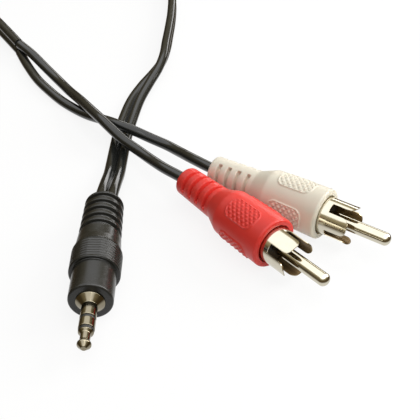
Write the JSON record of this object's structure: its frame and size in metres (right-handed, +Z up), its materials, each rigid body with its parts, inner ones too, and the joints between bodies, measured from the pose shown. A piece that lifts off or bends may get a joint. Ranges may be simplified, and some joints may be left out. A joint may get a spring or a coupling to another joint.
{
  "type": "stereo jack to twin phono audio cable",
  "caption": "Black stereo jack plug on a flat twin cable that splits to a red and a white phono plug, with the spare cable in a tied coil.",
  "frame": {"origin": "on the surface the plugs lie on, under the middle of the box round the three plugs", "axes": "+Z up; -Y the way the jack plug points; +X the side the phono plugs lie on; the cable runs off along +Y"},
  "size_m": [0.1324, 0.2572, 0.0128],
  "materials": {
    "black_pvc": "moulded, satin",
    "red_pvc": "moulded, satin",
    "white_pvc": "moulded, satin",
    "cable_pvc": "extruded, semi-gloss",
    "cream_plastic": "moulded",
    "dark_plastic": "moulded",
    "tie_plastic": "moulded",
    "nickel_plate": "bright nickel plate",
    "tinned_copper": "tinned"
  },
  "bodies": {
    "root": {"jack_overmould": "black_pvc", "jack_inner_mould": "cream_plastic", "jack_sleeve": "nickel_plate", "jack_ring_insulator": "dark_plastic", "jack_ring": "nickel_plate", "jack_tip_insulator": "dark_plastic", "jack_tip": "nickel_plate", "jack_ground_tab": "tinned_copper", "jack_ring_tab": "tinned_copper", "jack_left_wire": "cream_plastic", "jack_right_wire": "cream_plastic", "jack_screen": "tinned_copper", "phono_red_overmould": "red_pvc", "phono_red_inner_mould": "cream_plastic", "phono_red_shell": "nickel_plate", "phono_red_insulator": "dark_plastic", "phono_red_pin": "nickel_plate", "phono_red_wire": "cream_plastic", "phono_red_screen": "tinned_copper", "phono_white_overmould": "white_pvc", "phono_white_inner_mould": "cream_plastic", "phono_white_shell": "nickel_plate", "phono_white_insulator": "dark_plastic", "phono_white_pin": "nickel_plate", "phono_white_wire": "cream_plastic", "phono_white_screen": "tinned_copper", "twin_jack_side": "cable_pvc", "cable_coil": "cable_pvc", "twin_phono_side": "cable_pvc", "lead_red": "cable_pvc", "lead_white": "cable_pvc", "coil_tie": "tie_plastic"}
  },
  "joints": []
}
